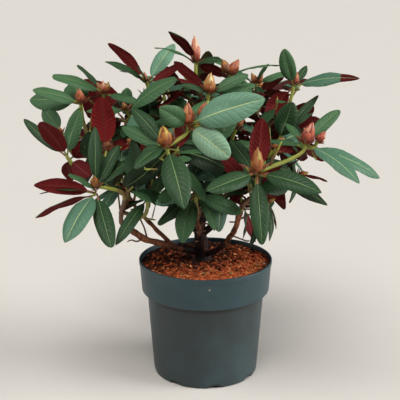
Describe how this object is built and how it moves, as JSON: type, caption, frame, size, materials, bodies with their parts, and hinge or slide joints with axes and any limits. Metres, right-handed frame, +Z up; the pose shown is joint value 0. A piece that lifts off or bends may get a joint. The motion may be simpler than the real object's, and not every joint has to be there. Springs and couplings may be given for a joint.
{
  "type": "potted rhododendron",
  "caption": "Budded rhododendron shrub with broad leathery leaves, standing in a round plastic nursery pot filled with soil.",
  "frame": {"origin": "centre of the pot's flat underside, where the pot rests on the ground", "axes": "+Z up along the pot's axis, +X to the right and -Y to the front, as seen from the plant's front"},
  "size_m": [0.5532, 0.5145, 0.5838],
  "materials": {
    "pot": "matt moulded plastic",
    "soil": "loose granular growing medium",
    "bark": "rough brown bark",
    "foliage": "leathery, slightly glossy leaves"
  },
  "bodies": {
    "root": {"pot": "pot", "soil": "soil", "trunk": "bark", "bough_left_low": "bark", "bough_left_thin": "bark", "bough_left_high": "bark", "bough_front_left": "bark", "bough_front_low": "bark", "bough_centre": "bark", "bough_top": "bark", "bough_right_high": "bark", "bough_right": "bark", "bough_front_right": "bark", "bough_back_left": "bark", "bough_back": "bark", "bough_back_right": "bark", "foliage_left_low": "foliage", "foliage_left_tip": "foliage", "foliage_left_top": "foliage", "foliage_front_left": "foliage", "foliage_front_low": "foliage", "foliage_centre": "foliage", "foliage_top": "foliage", "foliage_right_high": "foliage", "foliage_right": "foliage", "foliage_front_right": "foliage", "foliage_back_left": "foliage", "foliage_back": "foliage", "foliage_back_right": "foliage"}
  },
  "joints": []
}
